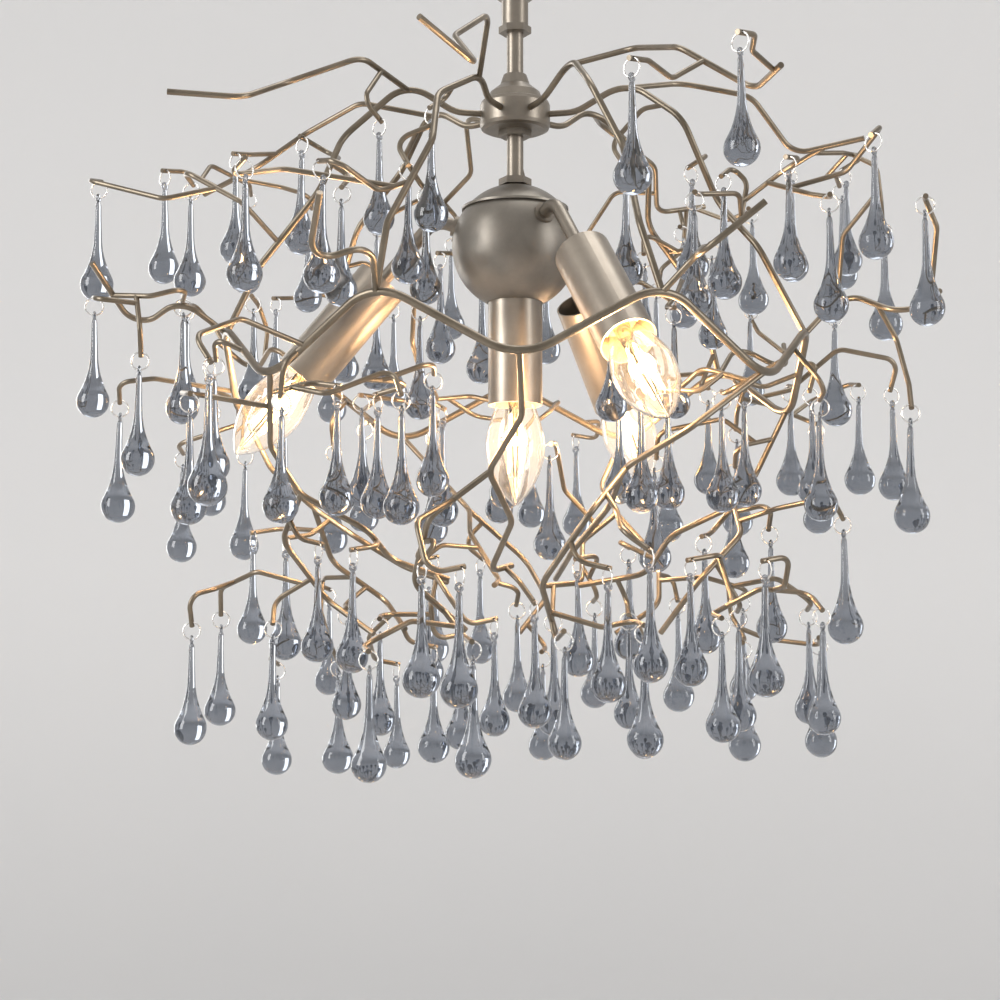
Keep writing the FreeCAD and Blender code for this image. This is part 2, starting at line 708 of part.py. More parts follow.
# ---------------------------------------------------------------- twigs
def attachment_points(rods):
    """Points on the straight runs of a branch's rods where a twig can be brazed on."""
    points = []
    for rod in rods:
        corners = [rod["points"][0]]
        for first, _, final in bend_corners(rod["points"], rod["bend"]):
            corners.extend((first, final))
        corners.append(rod["points"][-1])
        for start, end in zip(corners[::2], corners[1::2]):
            run = end - start
            if run.Length < 9:
                continue
            if rod.get("tip") and end is corners[-1]:
                continue
            points.extend((start + run * part, run) for part in (0.3, 0.5, 0.7))
    return points


def twig_routes(group, drop, start, rng):
    """Likely routes for a twig from a point on a parent rod to the drop's ring."""
    hole = drop["place"] + group["normal"] * (2 * RING_RADIUS)
    for side in (1, -1):
        for lift in (10, -12, 32, 55):
            angle = math.radians(lift)
            way_in = group["across"] * (side * math.cos(angle)) + group["normal"] * -math.sin(angle)
            back = hole - way_in * rng.uniform(12, 19)
            reach = back - start
            if reach.Length < 9:
                continue
            tip = hole + way_in * TWIG_TIP
            kink = Vector(rng.uniform(-1, 1), rng.uniform(-1, 1), rng.uniform(-1, 1))
            kink *= 0.2 * reach.Length
            middle = start + reach * rng.uniform(0.35, 0.6) + kink
            if reach.Length > 34:
                yield [start, middle, back, tip]
            else:
                yield [start, back, tip]


def smooth_enough(points, parent_run):
    """Whether the route leaves its parent at a fair angle and no bend is sharper than a bent rod's."""
    leave = (points[1] - points[0]).getAngle(parent_run)
    if not math.radians(32) < leave < math.radians(148):
        return False
    for before, corner, after in zip(points, points[1:], points[2:]):
        if (corner - before).getAngle(after - corner) > math.radians(105):
            return False
    return True


def route_clear(drop, rod, parent, rods, all_drops, obstacles):
    """Whether a twig keeps clear of the lamps, the other rods and every drop's swing."""
    line = rod_capsules(rod)
    if not clear_of(line, obstacles, CLEAR):
        return False
    root, tip = rod["points"][0], rod["points"][-1]
    away = [piece for piece in line[1:] if (piece[0] - root).Length > BRAZE_REACH]
    for other in rods:
        if not clear_of(away if other is parent else line, other["capsules"], ROD_GAP):
            return False
    for other in all_drops:
        if other is drop:
            before_tip = [piece for piece in line[:-1] if (piece[1] - tip).Length > TIP_REACH]
            if not clear_of(before_tip, other["spaces"], CLEAR):
                return False
            continue
        middle, reach = other["middle"], other["reach"] + CLEAR
        near = [piece for piece in line if (piece[3] - middle).Length < piece[4] + reach]
        if near and not clear_of(near, other["spaces"], CLEAR):
            return False
    return True


def add_twigs(groups, branches, obstacles, rng):
    """Braze a twig for every drop on to the nearest rod that a clear route leads from.

    A drop that no twig can reach is taken out of its group.
    """
    all_drops = [drop for group in groups for drop in group["drops"]]
    all_rods = [rod for branch in branches for rod in branch]
    waiting = [(group, drop) for group in groups for drop in group["drops"]]
    for reach in (45, 70, 100, 140):
        still = []
        for group, drop in waiting:
            found = find_twig(group, drop, branches, all_rods, all_drops, obstacles, rng, reach)
            if found is None:
                still.append((group, drop))
                continue
            branch, rod = found
            rod["capsules"] = rod_capsules(rod)
            branch.append(rod)
            all_rods.append(rod)
        waiting = still
    for group, drop in waiting:
        group["drops"].remove(drop)


def find_twig(group, drop, branches, all_rods, all_drops, obstacles, rng, reach):
    """The branch and the first clear twig for a drop, trying the nearest brazing points first."""
    hole = drop["place"] + group["normal"] * (2 * RING_RADIUS)
    options = []
    for branch in branches:
        for rod in branch:
            for point, run in rod["attachments"]:
                distance = (point - hole).Length
                if 14 < distance < reach:
                    below = max(0.0, hole.z - point.z)
                    options.append((distance + 0.4 * below, len(options), branch, rod, point, run))
    options.sort(key=lambda option: option[:2])
    for _, _, branch, parent, point, run in options[:24]:
        for points in twig_routes(group, drop, point, rng):
            if not smooth_enough(points, run):
                continue
            rod = {
                "points": points, "radius": TWIG_RADIUS, "bend": TWIG_BEND,
                "tip": True, "hole": hole, "hole_axis": group["axis"],
            }
            if route_clear(drop, rod, parent, all_rods, all_drops, obstacles):
                rod["attachments"] = attachment_points([rod])
                return branch, rod
    return None


# ---------------------------------------------------------------- branches, rings and drops as solids
def fitted(bar, others):
    """A bar notched to the bars that it is brazed to, so that they meet face to face."""
    for other in others:
        if bar.BoundBox.intersect(other.BoundBox) and bar.common(other).Volume > 1e-6:
            bar = max(bar.cut(other).Solids, key=lambda solid: solid.Volume)
    return bar


def build_branch(name, rods):
    """One branch, from its girdle outwards to its twigs, each length a solid of its own."""
    solids = []
    for rod in sorted(rods, key=lambda each: -each["bend"]):
        in_lengths = girdle_lengths if rod["bend"] == GIRDLE_BEND else rod_lengths
        bars = in_lengths(rod["points"], rod["radius"], rod["bend"])
        if "hole" in rod:
            reach = rod["hole_axis"] * 4
            hole = tube(rod["hole"] - reach, rod["hole"] + reach, HOLE_RADIUS)
            bars = [bar.cut(hole) for bar in bars]
        earlier = list(solids)
        solids.extend(fitted(bar, earlier) for bar in bars)
    export(name, solids)


def drop_solid():
    """The body of one teardrop hanging from the origin: a neck, then a flare tangent to the round end."""
    bulb_z = DROP_RADIUS - DROP_LENGTH
    height = bulb_z + NECK_LENGTH
    flare = (height ** 2 + NECK_RADIUS ** 2 - DROP_RADIUS ** 2) / (2 * (DROP_RADIUS - NECK_RADIUS))
    centre = Vector(NECK_RADIUS + flare, 0, -NECK_LENGTH)
    to_bulb = Vector(0, 0, bulb_z) - centre
    to_bulb.normalize()
    meeting = centre + to_bulb * flare
    bisector = to_bulb + Vector(-1, 0, 0)
    bisector.normalize()
    neck_top = Vector(EYE_WIRE, 0, -EYE_RADIUS - 0.1)
    shoulder = Vector(NECK_TOP_RADIUS, 0, -EYE_RADIUS - EYE_WIRE - 1.5)
    flare_start = Vector(NECK_RADIUS, 0, -NECK_LENGTH)
    bottom = Vector(0, 0, -DROP_LENGTH)
    out = math.radians(-20)
    widest = Vector(DROP_RADIUS * math.cos(out), 0, bulb_z + DROP_RADIUS * math.sin(out))
    axis_top = Vector(0, 0, neck_top.z)
    edges = [
        Part.LineSegment(axis_top, neck_top).toShape(),
        Part.LineSegment(neck_top, shoulder).toShape(),
        Part.LineSegment(shoulder, flare_start).toShape(),
        Part.Arc(flare_start, centre + bisector * flare, meeting).toShape(),
        Part.Arc(meeting, widest, bottom).toShape(),
        Part.LineSegment(bottom, axis_top).toShape(),
    ]
    return turned(edges)


def build_drops(groups):
    body = drop_solid()
    rings = []
    for number, group in enumerate(groups, 1):
        eye = Part.makeTorus(EYE_RADIUS, EYE_WIRE, Vector(0, 0, 0), group["axis"])
        solids = []
        for drop in group["drops"]:
            solid = body.copy()
            solid.scale(drop["scale"])
            solid = solid.fuse(eye)
            solid.translate(drop["place"])
            solids.append(solid)
            centre = drop["place"] + group["normal"] * RING_RADIUS
            rings.append(Part.makeTorus(RING_RADIUS, RING_WIRE, centre, group["across"]))
        export(f"drops_{number:02d}", solids)
    export("jump_rings", rings)


def plan():
    """Places every rod and drop: the lamps first, then the main rods, the drops and the twigs."""
    rng = random.Random(SEED)
    axes = lamp_axes()
    obstacles = fixed_obstacles(axes)
    branches = []
    for k in range(BRANCH_COUNT):
        branches.append(clear_branch(k, rng, branches, obstacles))
    main_rods = [piece for branch in branches for rod in branch for piece in rod["capsules"]]
    groups = place_groups(rng, obstacles + main_rods)
    add_twigs(groups, branches, obstacles, rng)
    return axes, branches, groups


def main():
    os.makedirs("parts", exist_ok=True)
    axes, branches, groups = plan()
    build_column()
    build_hub()
    build_arms()
    build_lamps(axes)
    for number, rods in enumerate(branches, 1):
        build_branch(f"branch_{number}", rods)
    build_drops(groups)


if __name__ == "__main__":
    main()
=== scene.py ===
import json
import math
import random

import bmesh
import bpy
from mathutils import Matrix, Vector, noise

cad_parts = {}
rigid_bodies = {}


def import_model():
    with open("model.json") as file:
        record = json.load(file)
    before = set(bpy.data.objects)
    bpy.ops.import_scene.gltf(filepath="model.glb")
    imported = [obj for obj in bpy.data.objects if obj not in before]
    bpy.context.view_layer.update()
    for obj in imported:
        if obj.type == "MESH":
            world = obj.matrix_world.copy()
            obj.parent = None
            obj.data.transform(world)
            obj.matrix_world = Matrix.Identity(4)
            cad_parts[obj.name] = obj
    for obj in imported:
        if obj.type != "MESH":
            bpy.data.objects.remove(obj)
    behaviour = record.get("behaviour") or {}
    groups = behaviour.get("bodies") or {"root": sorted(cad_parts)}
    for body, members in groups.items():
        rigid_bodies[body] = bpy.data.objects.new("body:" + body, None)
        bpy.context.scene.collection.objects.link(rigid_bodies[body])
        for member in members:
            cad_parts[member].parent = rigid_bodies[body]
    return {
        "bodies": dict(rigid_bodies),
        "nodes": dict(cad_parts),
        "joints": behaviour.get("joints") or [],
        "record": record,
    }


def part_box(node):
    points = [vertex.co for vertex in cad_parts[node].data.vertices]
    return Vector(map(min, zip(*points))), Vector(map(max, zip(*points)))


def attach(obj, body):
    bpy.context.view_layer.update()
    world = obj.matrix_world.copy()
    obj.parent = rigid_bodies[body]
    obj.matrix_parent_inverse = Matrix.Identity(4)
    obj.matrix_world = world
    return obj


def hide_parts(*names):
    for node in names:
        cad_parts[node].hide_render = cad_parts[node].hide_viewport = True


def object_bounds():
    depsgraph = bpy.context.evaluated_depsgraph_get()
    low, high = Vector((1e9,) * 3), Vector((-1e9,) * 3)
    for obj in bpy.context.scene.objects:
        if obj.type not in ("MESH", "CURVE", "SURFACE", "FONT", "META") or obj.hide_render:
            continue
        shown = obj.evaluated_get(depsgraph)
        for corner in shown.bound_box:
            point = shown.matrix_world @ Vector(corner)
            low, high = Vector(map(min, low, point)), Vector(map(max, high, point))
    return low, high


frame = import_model()
CAD_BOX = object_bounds()
SEED = 11
MM = 0.001
UP = Vector((0, 0, 1))

# The hub's lower bowl ends this far above the hub's centre.
HUB_SEAM = 22 * MM

# The camera stands in front, a little left of the axis and below the hub, and looks slightly up.
CAMERA_BACK = 1.15
CAMERA_LEFT = 0.009
CAMERA_BELOW_HUB = 0.27
CAMERA_PITCH = 5.9
CAMERA_LENS = 70.9

# Glass drop, from the pivot in its eye down to its round end.
DROP_LENGTH = 61.0 * MM
DROP_RADIUS = 9.7 * MM
NECK_TOP_RADIUS = 1.75 * MM
NECK_RADIUS = 2.25 * MM
NECK_LENGTH = 22.0 * MM
EYE_RADIUS = 1.75 * MM
EYE_WIRE = 0.9 * MM
RIPPLE_HEIGHT = 0.025
RIPPLE_SCALE = 110.0
RING_RADIUS = 5.0 * MM
RING_WIRE = 0.45 * MM

# Candle bulb, along its axis from the end of its cap.
BULB_LENGTH = 98.0 * MM
BULB_WALL = 0.7 * MM
CAP_LENGTH = 22.0 * MM
CAP_RADIUS = 6.75 * MM
THREAD_PITCH = 2.8 * MM
THREAD_DEPTH = 0.35 * MM
THREAD_START = 6.0 * MM
THREAD_END = 18.5 * MM
THREAD_FADE = 2.0 * MM
STICK_COUNT = 4
STICK_FOOT = (3.2 * MM, 43.5 * MM)
STICK_HEAD = (5.6 * MM, 78.0 * MM)
STICK_RADIUS = 0.95 * MM

# The lamps are lit: a small warm light inside each bulb, at this part of the bulb's length.
LAMP_POWER = 1.5
LAMP_COLOUR = (1.0, 0.63, 0.36)
LAMP_SIZE = 0.008
LAMP_PLACE = 0.6

# The studio: a round cove whose floor lies this far below the object.
FLOOR_BELOW = 0.55
FLOOR_RADIUS = 2.6
COVE_BEND = 0.9
COVE_HEIGHT = 3.4
AIR_COLOUR = (1.0, 0.985, 0.975, 1)
AIR_STRENGTH = 0.72


# ---------------------------------------------------------------- mesh helpers
def new_object(name, vertices, faces, material):
    """A smooth-shaded mesh object of one material."""
    mesh = bpy.data.meshes.new(name)
    mesh.from_pydata([tuple(v) for v in vertices], [], faces)
    mesh.materials.append(material)
    mesh.polygons.foreach_set("use_smooth", [True] * len(mesh.polygons))
    mesh.update()
    obj = bpy.data.objects.new(name, mesh)
    bpy.context.scene.collection.objects.link(obj)
    return obj


def revolve(profile, segments, radius_at=None):
    """Vertices and faces turned about Z from (radius, height) points; a radius of 0 closes an end."""
    vertices = []
    rows = []
    for radius, height in profile:
        if radius < 1e-7:
            rows.append([len(vertices)] * segments)
            vertices.append(Vector((0, 0, height)))
            continue
        rows.append(list(range(len(vertices), len(vertices) + segments)))
        for k in range(segments):
            angle = 2 * math.pi * k / segments
            r = radius_at(radius, height, angle) if radius_at else radius
            vertices.append(Vector((r * math.cos(angle), r * math.sin(angle), height)))
    faces = []
    for low, high in zip(rows, rows[1:]):
        for k in range(segments):
            n = (k + 1) % segments
            corners = [low[k], low[n], high[n], high[k]]
            face = [v for i, v in enumerate(corners) if v not in corners[:i]]
            if len(face) > 2:
                faces.append(face)
    return vertices, faces


def swept(points, radius, sides):
    """A round wire through the points, with flat ends."""
    vertices = []
    faces = []
    side = None
    for i, point in enumerate(points):
        ahead = points[min(i + 1, len(points) - 1)] - points[max(i - 1, 0)]
        ahead.normalize()
        if side is None:
            side = ahead.orthogonal().normalized()
        side = (side - ahead * side.dot(ahead)).normalized()
        other = ahead.cross(side)
        for k in range(sides):
            angle = 2 * math.pi * k / sides
            offset = side * (radius * math.cos(angle))
            vertices.append(point + offset + other * (radius * math.sin(angle)))
    for i in range(len(points) - 1):
        for k in range(sides):
            n = (k + 1) % sides
            faces.append([i * sides + k, i * sides + n, (i + 1) * sides + n, (i + 1) * sides + k])
    faces.append(list(range(sides))[::-1])
    faces.append([(len(points) - 1) * sides + k for k in range(sides)])
    return vertices, faces


def merged(parts):
    """Several (vertices, faces) as one."""
    vertices = []
    faces = []
    for points, polygons in parts:
        base = len(vertices)
        vertices.extend(points)
        faces.extend([base + v for v in face] for face in polygons)
    return vertices, faces


def catmull_rom(p, q, r, s, t):
    """The value at t, from 0 at q to 1 at r, of the smooth curve through p, q, r and s."""
    square = (2 * p - 5 * q + 4 * r - s) * t * t
    cube = (3 * q - p - 3 * r + s) * t ** 3
    return 0.5 * (2 * q + (r - p) * t + square + cube)


def spline(points, steps):
    """A smooth curve through (radius, height) points, as Catmull-Rom spans."""
    ends = [points[0]] + list(points) + [points[-1]]
    curve = []
    for span in zip(ends, ends[1:], ends[2:], ends[3:]):
        for k in range(steps):
            curve.append(tuple(catmull_rom(*values, k / steps) for values in zip(*span)))
    curve.append(points[-1])
    return curve


def face_outward(obj):
    """Turn all of a closed piece's faces outwards."""
    mesh = bmesh.new()
    mesh.from_mesh(obj.data)
    bmesh.ops.recalc_face_normals(mesh, faces=mesh.faces)
    mesh.to_mesh(obj.data)
    mesh.free()


def solids_of(node):
    """The points of each separate solid in a CAD node."""
    mesh = bmesh.new()
    mesh.from_mesh(frame["nodes"][node].data)
    bmesh.ops.remove_doubles(mesh, verts=mesh.verts, dist=2e-5)
    seen = set()
    groups = []
    for first in mesh.verts:
        if first in seen:
            continue
        seen.add(first)
        queue = [first]
        points = []
        while queue:
            vertex = queue.pop()
            points.append(vertex.co.copy())
            for edge in vertex.link_edges:
                other = edge.other_vert(vertex)
                if other not in seen:
                    seen.add(other)
                    queue.append(other)
        groups.append(points)
    mesh.free()
    return groups


def joint_axis(body):
    """The direction of the joint that moves a body."""
    return next(Vector(joint["axis"]) for joint in frame["joints"] if joint["child"] == body)


# ---------------------------------------------------------------- materials
def principled(name, **inputs):
    """A material and its shader, with the shader's inputs set by name, _ standing for a space."""
    material = bpy.data.materials.new(name)
    material.use_nodes = True
    shader = material.node_tree.nodes["Principled BSDF"]
    for key, value in inputs.items():
        shader.inputs[key.replace("_", " ")].default_value = value
    return material, shader


def add_node(material, kind, **inputs):
    """A new node with its inputs set by name, _ standing for a space."""
    node = material.node_tree.nodes.new(kind)
    for key, value in inputs.items():
        node.inputs[key.replace("_", " ")].default_value = value
    return node


def join(material, out_socket, in_socket):
    """Link one node's output to another node's input."""
    material.node_tree.links.new(out_socket, in_socket)


def noise_texture(material, scale, detail, roughness, stretch=None):
    """Noise from 0 to 1 in the object's own coordinates, with a scale on each axis if given."""
    texture = add_node(material, "ShaderNodeTexNoise", Scale=scale, Detail=detail, Roughness=roughness)
    place = add_node(material, "ShaderNodeTexCoord")
    source = place.outputs["Object"]
    if stretch:
        mapping = add_node(material, "ShaderNodeMapping", Scale=stretch)
        join(material, source, mapping.inputs["Vector"])
        source = mapping.outputs["Vector"]
    join(material, source, texture.inputs["Vector"])
    return texture.outputs["Fac"]


def ramp(material, source, stops):
    """A colour ramp with stops of (place, colour)."""
    node = add_node(material, "ShaderNodeValToRGB")
    elements = node.color_ramp.elements
    while len(elements) < len(stops):
        elements.new(0.5)
    for element, (place, colour) in zip(elements, stops):
        element.position = place
        element.color = (*colour, 1.0)
    join(material, source, node.inputs["Fac"])
    return node.outputs["Color"]


def spread(material, source, low, high):
    """A value from 0 to 1 spread out from low to high."""
    node = add_node(material, "ShaderNodeMapRange")
    node.inputs["To Min"].default_value = low
    node.inputs["To Max"].default_value = high
    join(material, source, node.inputs["Value"])
    return node.outputs["Result"]


def bumped(material, shader, source, distance, strength):
    """Small bumps in the surface, distance being their height in metres."""
    bump = add_node(material, "ShaderNodeBump", Strength=strength, Distance=distance)
    join(material, source, bump.inputs["Height"])
    join(material, bump.outputs["Normal"], shader.inputs["Normal"])


def satin_metal(name, dark, light, roughness, grain=900.0):
    """Champagne metal paint: fine metallic grain, cloudy tone and slightly polished patches."""
    material, shader = principled(name, Metallic=0.85, IOR=1.5)
    cloud = noise_texture(material, 38.0, 6.0, 0.6)
    join(material, ramp(material, cloud, ((0.3, dark), (0.72, light))), shader.inputs["Base Color"])
    fine = noise_texture(material, grain, 3.0, 0.7)
    join(material, spread(material, fine, roughness - 0.09, roughness + 0.12), shader.inputs["Roughness"])
    bumped(material, shader, fine, 0.00006, 0.35)
    return material


def plated_metal(name, dark, light, roughness):
    """Bare or plated metal with faint streaks of tone and polish."""
    material, shader = principled(name, Metallic=1.0)
    streak = noise_texture(material, 220.0, 4.0, 0.6, (1, 1, 6))
    join(material, ramp(material, streak, ((0.35, dark), (0.7, light))), shader.inputs["Base Color"])
    join(material, spread(material, streak, roughness - 0.06, roughness + 0.1), shader.inputs["Roughness"])
    bumped(material, shader, streak, 0.00004, 0.3)
    return material


def smoky_glass():
    """Blue-grey glass: paler in the drawn neck, smokier in the round end, with faint drawn streaks."""
    material, shader = principled("smoky_glass", Transmission_Weight=1.0, IOR=1.5, Roughness=0.0)
    along = material.node_tree.nodes.new("ShaderNodeAttribute")
    along.attribute_name = "along"
    streak = noise_texture(material, 140.0, 5.0, 0.6, (1, 1, 0.25))
    blend = add_node(material, "ShaderNodeMath")
    blend.operation = "MULTIPLY_ADD"
    blend.inputs[1].default_value = 0.22
    join(material, streak, blend.inputs[0])
    join(material, along.outputs["Fac"], blend.inputs[2])
    tone = ramp(material, blend.outputs["Value"],
                ((0.10, (0.41, 0.425, 0.455)), (0.50, (0.33, 0.352, 0.39)), (1.0, (0.245, 0.268, 0.31))))
    join(material, tone, shader.inputs["Base Color"])
    bumped(material, shader, noise_texture(material, 95.0, 2.0, 0.5), 0.0003, 0.12)
    return material


def clear_glass():
    """Clear bulb glass whose slight haze picks up the light inside it."""
    material, shader = principled("bulb_glass", Transmission_Weight=0.9978, IOR=1.45, Roughness=0.0)
    haze = noise_texture(material, 60.0, 3.0, 0.5)
    join(material, ramp(material, haze, ((0.3, (0.97, 0.95, 0.90)), (0.7, (1.0, 0.99, 0.97)))),
         shader.inputs["Base Color"])
    bumped(material, shader, haze, 0.0002, 0.06)
    return material


def glowing(name, colour, strength):
    """A coating that gives off light, slightly grainy."""
    material, shader = principled(name, Roughness=0.6, Emission_Strength=strength)
    grain = noise_texture(material, 1400.0, 2.0, 0.5)
    low = tuple(c * 0.86 for c in colour)
    for socket in ("Emission Color", "Base Color"):
        join(material, ramp(material, grain, ((0.3, low), (0.7, colour))), shader.inputs[socket])
    return material


def plain_plastic(name, dark, light, roughness):
    """Matt plastic with a slightly uneven tone."""
    material, shader = principled(name, IOR=1.5)
    tone = noise_texture(material, 160.0, 5.0, 0.6)
    join(material, ramp(material, tone, ((0.3, dark), (0.7, light))), shader.inputs["Base Color"])
    join(material, spread(material, tone, roughness - 0.05, roughness + 0.1), shader.inputs["Roughness"])
    bumped(material, shader, tone, 0.00008, 0.3)
    return material


MATERIALS = {
    "satin_metal": satin_metal("satin_metal", (0.20, 0.175, 0.145), (0.29, 0.255, 0.21), 0.36),
    "hub_metal": satin_metal("hub_metal", (0.19, 0.172, 0.148), (0.27, 0.245, 0.21), 0.40, 1200.0),
    "sleeve_metal": satin_metal("sleeve_metal", (0.27, 0.235, 0.195), (0.36, 0.315, 0.26), 0.34, 1200.0),
    "rod_metal": satin_metal("rod_metal", (0.13, 0.108, 0.08), (0.24, 0.20, 0.15), 0.30, 700.0),
    "plated_steel": plated_metal("plated_steel", (0.45, 0.44, 0.42), (0.62, 0.61, 0.58), 0.32),
    # The lampholder's ochre is partly its own golden plastic and partly painted warm lamp light, made
    # deeper and more saturated than the plastic so the sleeve mouths look lit.
    "holder": plain_plastic("holder", (0.68, 0.47, 0.17), (0.80, 0.60, 0.27), 0.5),
    "brass_contact": plated_metal("brass_contact", (0.58, 0.42, 0.18), (0.78, 0.60, 0.30), 0.25),
    "silver_wire": plated_metal("silver_wire", (0.66, 0.65, 0.63), (0.82, 0.81, 0.79), 0.2),
    "bulb_glass": clear_glass(),
    "bulb_cap": plated_metal("bulb_cap", (0.55, 0.45, 0.27), (0.74, 0.64, 0.42), 0.26),
    "filament": glowing("filament", (1.0, 0.66, 0.30), 90.0),
    "smoky_glass": smoky_glass(),
}


def dress_cad_nodes():
    """Every CAD node that stays visible gets its slot's detailed material."""
    slots = {part["node"]: part["material_slot"] for part in frame["record"]["subparts"]}
    for name, obj in frame["nodes"].items():
        obj.data.materials.clear()
        obj.data.materials.append(MATERIALS[slots[name]])


# ---------------------------------------------------------------- drops and rings
def drop_profile():
    """(radius, height) down a drop: slim neck, flare tangent to the round end, round end."""
    centre = DROP_RADIUS - DROP_LENGTH
    height = centre + NECK_LENGTH
    flare = (height ** 2 + NECK_RADIUS ** 2 - DROP_RADIUS ** 2) / (2 * (DROP_RADIUS - NECK_RADIUS))
    meet = math.atan2(-NECK_LENGTH - centre, NECK_RADIUS + flare)
    top = -EYE_RADIUS - 0.15 * MM
    points = [
        (0.0, top), (0.8 * MM, top - 0.1 * MM),
        (1.25 * MM, top - 0.8 * MM), (1.6 * MM, top - 2.0 * MM),
    ]
    steps = 8
    neck_start = top - 3.6 * MM
    for k in range(steps):
        part = k / steps
        radius = NECK_TOP_RADIUS + (NECK_RADIUS - NECK_TOP_RADIUS) * part ** 1.6
        points.append((radius, neck_start + (-NECK_LENGTH - neck_start) * part))
    steps = 13
    for k in range(steps):
        angle = math.pi + meet * k / steps
        radius = NECK_RADIUS + flare + flare * math.cos(angle)
        points.append((radius, -NECK_LENGTH + flare * math.sin(angle)))
    steps = 16
    for k in range(steps + 1):
        angle = meet - (meet + math.pi / 2) * k / steps
        radius = max(DROP_RADIUS * math.cos(angle), 0.0)
        points.append((radius, centre + DROP_RADIUS * math.sin(angle)))
    points[-1] = (0.0, -DROP_LENGTH)
    return points


def eye_loop():
    """The glass eye: a small loop round the Y axis, drawn a little thicker where it meets the neck."""
    around = 22
    sides = 10
    vertices = []
    faces = []
    for i in range(around):
        turn = 2 * math.pi * i / around
        out = Vector((math.cos(turn), 0, math.sin(turn)))
        wire = EYE_WIRE * (1.0 + 0.08 * max(0.0, -math.sin(turn)))
        for k in range(sides):
            angle = 2 * math.pi * k / sides
            along_axis = Vector((0, wire * math.sin(angle), 0))
            vertices.append(out * (EYE_RADIUS + wire * math.cos(angle)) + along_axis)
    for i in range(around):
        for k in range(sides):
            a = i * sides + k
            b = i * sides + (k + 1) % sides
            n = ((i + 1) % around) * sides
            faces.append([a, b, n + (k + 1) % sides, n + k])
    return vertices, faces


def drop_template():
    """One drop with its eye joined on, as plain vertex and face lists."""
    glass = MATERIALS["smoky_glass"]
    vertices, faces = revolve(drop_profile(), 30)
    body = new_object("drop_template", vertices, faces, glass)
    vertices, faces = eye_loop()
    eye = new_object("eye_template", vertices, faces, glass)
    face_outward(body)
    face_outward(eye)
    union = body.modifiers.new("eye", "BOOLEAN")
    union.operation = "UNION"
    union.solver = "EXACT"
    union.object = eye
    bpy.context.view_layer.update()
    result = body.evaluated_get(bpy.context.evaluated_depsgraph_get()).to_mesh()
    vertices = [v.co.copy() for v in result.vertices]
    faces = [list(p.vertices) for p in result.polygons]
    bpy.data.objects.remove(body)
    bpy.data.objects.remove(eye)
    return vertices, faces


def shaped_drop(template, pivot, axis, scale, rng):
    """The template put in place, with the small unevenness of glass drawn by hand.

    Also returns how far down the drop each vertex lies, from 0 at the eye to 1 at the round end.
    """
    level = Vector((axis.x, axis.y, 0)).normalized()
    across = level.cross(UP)
    lean = (rng.uniform(-0.5, 0.5) * MM, rng.uniform(-0.5, 0.5) * MM)
    fat = rng.uniform(0.97, 1.03)
    shift = Vector((rng.uniform(0, 50), rng.uniform(0, 50), rng.uniform(0, 50)))
    tilt = math.asin(max(-1.0, min(1.0, axis.z)))
    vertices = []
    along = []
    for v in template:
        part = min(max(-v.z / DROP_LENGTH, 0.0), 1.0)
        ease = part * part * (3 - 2 * part)
        ripple = 1.0 + RIPPLE_HEIGHT * ease * noise.noise(v * RIPPLE_SCALE + shift)
        width = (1.0 + (fat - 1.0) * ease) * ripple
        bend = math.sin(math.pi * part)
        x = v.x * width + lean[0] * bend
        y = v.y * width + lean[1] * bend
        z = v.z + tilt * y * max(0.0, 1 - part * 8)
        vertices.append(pivot + (across * x + level * y + UP * z) * scale)
        along.append(part)
    return vertices, along


def jump_ring(pivot, axis, rng):
    """A cut wire ring through the drop's eye and the twig's hole; its ends lie a little apart."""
    normal = (UP - axis * axis.z).normalized()
    side = axis.cross(normal)
    centre = pivot + normal * RING_RADIUS
    gap = math.radians(2.5)
    start = rng.choice((-1, 1)) * math.radians(rng.uniform(60, 120))
    spring = rng.uniform(0.1, 0.28) * MM
    points = []
    steps = 34
    for k in range(steps + 1):
        part = k / steps
        angle = start + gap + (2 * math.pi - 2 * gap) * part
        out = axis * math.sin(angle) + normal * math.cos(angle)
        points.append(centre + out * RING_RADIUS + side * (spring * (part - 0.5)))
    return swept(points, RING_WIRE, 8)


def make_drops():
    """The glass of each group of drops, and all the jump rings in one piece."""
    rng = random.Random(SEED)
    template, faces = drop_template()
    rings = []
    names = sorted(body for body in frame["bodies"] if body.startswith("drops_"))
    for name in names:
        axis = joint_axis(name)
        parts = []
        along = []
        for points in solids_of(name):
            low = min(p.z for p in points)
            high = max(p.z for p in points)
            scale = (high - low - EYE_WIRE - EYE_RADIUS) / DROP_LENGTH
            bulb = [p for p in points if p.z < low + 2 * DROP_RADIUS]
            centre = [(min(p[i] for p in bulb) + max(p[i] for p in bulb)) / 2 for i in (0, 1)]
            pivot = Vector((*centre, low + DROP_LENGTH * scale))
            vertices, places = shaped_drop(template, pivot, axis, scale, rng)
            parts.append((vertices, faces))
            along.extend(places)
            rings.append(jump_ring(pivot, axis, rng))
        obj = new_object(f"{name}_glass", *merged(parts), MATERIALS["smoky_glass"])
        attribute = obj.data.attributes.new("along", "FLOAT", "POINT")
        attribute.data.foreach_set("value", along)
        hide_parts(name)
        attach(obj, name)
    wire = new_object("jump_ring_wires", *merged(rings), MATERIALS["silver_wire"])
    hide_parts("jump_rings")
    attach(wire, "frame")


# ---------------------------------------------------------------- bulbs
def bulb_profile():
    """(radius, distance from the cap's end) of the outside of the bulb's glass."""
    points = (
        (6.3, 17.0), (6.8, 23.0), (8.2, 28.0), (11.4, 37.0), (15.0, 48.0), (17.2, 58.0),
        (17.45, 64.0), (16.2, 73.0), (12.9, 82.0), (8.2, 90.0), (4.2, 94.6), (1.9, 96.9),
    )
    return spline([(r * MM, z * MM) for r, z in points], 4) + [(0.0, BULB_LENGTH - 0.3 * MM)]


